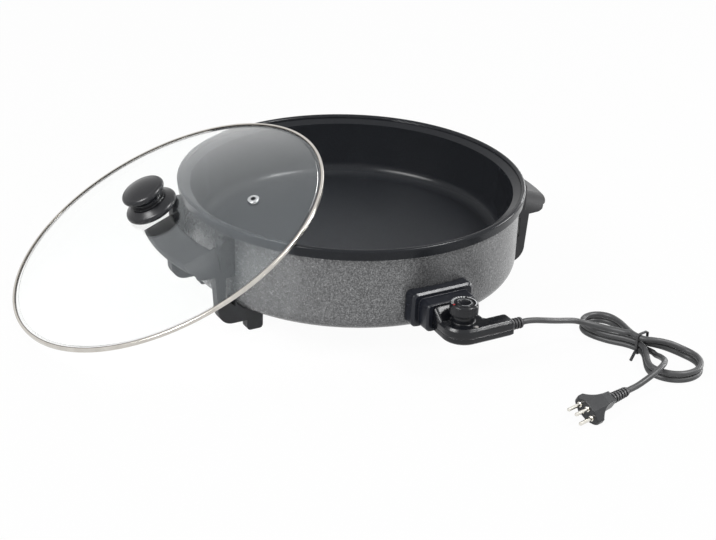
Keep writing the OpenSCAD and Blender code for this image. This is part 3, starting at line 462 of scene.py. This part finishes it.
def lamp_lens():
    s = Surface("lamp_lens", (0.5, 0.48, 0.46), 0.12, ior=1.49)
    s.ramp(s.noise(700, 2), [(0.3, (0.42, 0.4, 0.38)), (0.7, (0.55, 0.53, 0.51))], "Base Color")
    s.set("Transmission Weight", 0.25)
    return s.mat


def paint(name, low, high):
    s = Surface(name, low, 0.5)
    s.ramp(s.noise(900, 3), [(0.3, low), (0.7, high)], "Base Color")
    s.bump(s.noise(2500, 2), 0.05, 0.0001)
    return s.mat


def rubber(name, low, high, rough):
    s = Surface(name, low, rough)
    s.ramp(s.noise(45, 5), [(0.3, low), (0.7, high)], "Base Color")
    s.span(s.noise(70, 4), rough - 0.05, rough + 0.06, "Roughness")
    s.bump(s.noise(1200, 3), 0.1, 0.0002)
    return s.mat


# Low and high colour, roughness and, for plastics, the rounding of the edges
plastic = satin(
    "satin_plastic", (0.0125, 0.013, 0.015), (0.0195, 0.02, 0.0225), 0.46, 1.4 * MM)
plug_grey = satin(
    "plug_grey", (0.022, 0.0235, 0.026), (0.031, 0.0325, 0.0355), 0.3, 1.5 * MM)
socket_plastic = gloss(
    "socket_plastic", (0.0075, 0.009, 0.0145), (0.0115, 0.0132, 0.02), 0.29, 1.2 * MM)
case_plastic = gloss(
    "case_plastic", (0.006, 0.0066, 0.009), (0.0095, 0.0104, 0.0135), 0.16, 2.6 * MM)
knob_plastic = gloss(
    "knob_plastic", (0.0125, 0.013, 0.0155), (0.02, 0.0205, 0.0235), 0.23, 0.8 * MM)
vent = steel("vent_steel", (0.48, 0.49, 0.5), (0.6, 0.61, 0.62), 0.24, scale=90)
plain = steel("plain_steel", (0.5, 0.5, 0.5), (0.66, 0.66, 0.66), 0.34)
heater = steel("heater_steel", (0.22, 0.2, 0.18), (0.36, 0.33, 0.3), 0.5, scale=120)
nickel = steel("pin_nickel", (0.68, 0.66, 0.6), (0.82, 0.8, 0.75), 0.2)
brass = steel("contact_brass", (0.62, 0.48, 0.22), (0.78, 0.64, 0.34), 0.3)
ceramic = rubber("insulator", (0.78, 0.76, 0.71), (0.86, 0.84, 0.79), 0.6)
soft_black = rubber("soft_black", (0.03, 0.03, 0.032), (0.045, 0.045, 0.048), 0.48)
cord_grey = rubber("cord_grey", (0.05, 0.051, 0.053), (0.068, 0.069, 0.071), 0.46)
white_mark = paint("white_mark", (0.6, 0.61, 0.62), (0.72, 0.73, 0.74))
grey_mark = paint("grey_mark", (0.3, 0.31, 0.32), (0.38, 0.39, 0.4))
red_mark = paint("red_mark", (0.5, 0.03, 0.03), (0.62, 0.05, 0.045))

finish = {
    "inner_pan": coating(),
    "outer_shell": hammertone(),
    "base_screws": plain,
    "heating_element": heater,
    "terminal_pins": nickel,
    "terminal_seals": ceramic,
    "probe_guide": plain,
    "socket_housing": socket_plastic,
    "socket_screws": plain,
    "left_handle": plastic,
    "right_handle": plastic,
    "handle_screws": plain,
    "lid_glass": clear_glass(),
    "lid_band": banded_steel(),
    "vent_grommet": vent,
    "knob_flange": knob_plastic,
    "lid_knob": knob_plastic,
    "knob_washer": plain,
    "knob_screw": plain,
    "upper_case": case_plastic,
    "lower_case": case_plastic,
    "case_screws": plain,
    "probe": nickel,
    "contact_sleeves": brass,
    "switch_block": ceramic,
    "indicator_lens": lamp_lens(),
    "dial": case_plastic,
    "dial_pointer": red_mark,
    "dial_shaft": plain,
    "cord_relief": soft_black,
    "cord_tie": soft_black,
    "plug_sleeve": soft_black,
    "plug_body": plug_grey,
    "plug_pins": nickel,
    "cord_lead": cord_grey,
    "cord_hank": cord_grey,
    "cord_tail": cord_grey,
}
for name, mat in finish.items():
    nodes[name].data.materials.clear()
    nodes[name].data.materials.append(mat)
flex.data.materials.append(cord_grey)


# Printed scale and a grey arc on the dial, in millimetres and degrees
DIAL_AT = Vector((0, -246.5, 54.4))  # middle of the dial's top
MARK_LOW, MARK_TOP = -0.1, 0.12  # the marks start in the dial and stand a little proud
TICKS, TICK_FROM, TICK_STEP = 9, 163, 13
TICK_HALF, TICK_GROWS = 2.2, 0.3  # half the angle of the first tick, and its growth per tick
TICK_R = (11.3, 14.1)
BAR_R, BAR_A = (12.6, 13.7), (-62, 44)  # the long bar beside the ticks
RING_R, RING_A = (7.5, 8.3), (-140, 120)


def arc_block(bm, radii, angles, steps):
    """A thin bent bar on the dial between two radii and two angles."""
    r0, r1 = radii
    a0, a1 = angles
    corners = ((r0, MARK_LOW), (r1, MARK_LOW), (r1, MARK_TOP), (r0, MARK_TOP))
    rings = []
    for i in range(steps + 1):
        a = math.radians(a0 + (a1 - a0) * i / steps)
        ring = []
        for r, z in corners:
            q = DIAL_AT + Vector((r * math.cos(a), r * math.sin(a), z))
            ring.append(bm.verts.new(q * MM))
        rings.append(ring)
    for p, q in zip(rings, rings[1:]):
        for k in range(4):
            bm.faces.new((p[k], q[k], q[(k + 1) % 4], p[(k + 1) % 4]))
    bm.faces.new(rings[0])
    bm.faces.new(rings[-1][::-1])


def dial_mark(name, fill, mat):
    bm = bmesh.new()
    fill(bm)
    obj = add_piece(name, bm)
    obj.data.materials.append(mat)
    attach(obj, "dial")


def dial_scale(bm):
    for i in range(TICKS):
        a = TICK_FROM - TICK_STEP * i
        half = TICK_HALF + TICK_GROWS * i
        arc_block(bm, TICK_R, (a - half, a + half), 4)
    arc_block(bm, BAR_R, BAR_A, 40)


# a light grey arc on the dial's inner ring, drawn as a thin flat band
def dial_ring(bm):
    arc_block(bm, RING_R, RING_A, 60)


dial_mark("dial_scale", dial_scale, white_mark)
dial_mark("dial_ring", dial_ring, grey_mark)


# Floor, world and lamps, in metres and watts
FLOOR_HALF = 6.0
FLOOR_GAP = 0.2 * MM  # under the table plane, so that no piece lies in the floor
FLOOR_WHITE = 0.96  # share of plain white in the floor that is seen; the rest keeps the shadow
WORLD_LIGHT, WORLD_SEEN = 0.45, 1.0


def seen(tree):
    """1 for rays that look at the background: straight, mirrored or through glass."""
    path = tree.nodes.new("ShaderNodeLightPath")
    first = tree.nodes.new("ShaderNodeMath")
    first.operation = "MAXIMUM"
    both = tree.nodes.new("ShaderNodeMath")
    both.operation = "MAXIMUM"
    tree.links.new(path.outputs["Is Camera Ray"], first.inputs[0])
    tree.links.new(path.outputs["Is Glossy Ray"], first.inputs[1])
    tree.links.new(first.outputs[0], both.inputs[0])
    tree.links.new(path.outputs["Is Transmission Ray"], both.inputs[1])
    return both.outputs[0]


def make_floor():
    mesh = bpy.data.meshes.new("floor")
    r, z = FLOOR_HALF, TABLE_Z * MM - FLOOR_GAP
    mesh.from_pydata([(-r, -r, z), (r, -r, z), (r, r, z), (-r, r, z)], [], [(0, 1, 2, 3)])
    mat = bpy.data.materials.new("floor_white")
    mat.use_nodes = True
    tree = mat.node_tree
    shader = tree.nodes["Principled BSDF"]
    shader.inputs["Base Color"].default_value = (0.86, 0.86, 0.86, 1)
    shader.inputs["Roughness"].default_value = 0.9
    shader.inputs["Specular IOR Level"].default_value = 0.0
    glow = tree.nodes.new("ShaderNodeEmission")
    share = tree.nodes.new("ShaderNodeMath")
    share.operation = "MULTIPLY"
    share.inputs[1].default_value = FLOOR_WHITE
    mix = tree.nodes.new("ShaderNodeMixShader")
    tree.links.new(seen(tree), share.inputs[0])
    tree.links.new(share.outputs[0], mix.inputs["Fac"])
    tree.links.new(shader.outputs["BSDF"], mix.inputs[1])
    tree.links.new(glow.outputs["Emission"], mix.inputs[2])
    tree.links.new(mix.outputs["Shader"], tree.nodes["Material Output"].inputs["Surface"])
    mesh.materials.append(mat)
    floor = bpy.data.objects.new("floor", mesh)
    scene.collection.objects.link(floor)


def make_world():
    world = bpy.data.worlds.new("studio")
    world.use_nodes = True
    tree = world.node_tree
    light = tree.nodes["Background"]
    light.inputs["Color"].default_value = (1, 1, 1, 1)
    amount = tree.nodes.new("ShaderNodeMapRange")
    amount.inputs["To Min"].default_value = WORLD_LIGHT
    amount.inputs["To Max"].default_value = WORLD_SEEN
    tree.links.new(seen(tree), amount.inputs["Value"])
    tree.links.new(amount.outputs["Result"], light.inputs["Strength"])
    scene.world = world


def lamp(name, at, size, power, along=(0, 0, 1), aim=(0, 0, 0.05), shine=False):
    """A soft box whose height runs along the given direction; shine gives highlights only."""
    data = bpy.data.lights.new(name, "AREA")
    data.shape = "RECTANGLE"
    data.size, data.size_y = size
    data.energy = power
    obj = bpy.data.objects.new(name, data)
    back = (Vector(at) - Vector(aim)).normalized()
    side = Vector(along).cross(back).normalized()
    turn = Matrix((side, back.cross(side), back)).transposed()
    obj.matrix_world = Matrix.Translation(at) @ turn.to_4x4()
    obj.visible_diffuse = not shine
    scene.collection.objects.link(obj)


make_floor()
make_world()
KEY_AT = (-1.62, -0.3, 1.5)
CASE_EDGE = (0.03, -0.265, 0.035)  # the front edge of the thermostat's case
lamp("key", KEY_AT, (0.5, 0.5), 16)
lamp("side", (1.8, -0.36, 0.2), (0.5, 0.4), 11.5)
lamp("front", (1.0, -1.1, 1.85), (0.5, 0.5), 17)
lamp("key_shine", KEY_AT, (1.3, 0.6), 33, shine=True)
lamp("front_shine", (0.95, -1.15, 1.85), (1.2, 0.5), 17, shine=True)
lamp("rim_shine", (1.85, 0.82, 0.35), (0.8, 0.8), 7, shine=True)
lamp(
    "edge_shine", (1.16, -1.03, 1.76), (0.14, 1.2), 12,
    along=(0, 0.91, 0.41), aim=CASE_EDGE, shine=True,
)
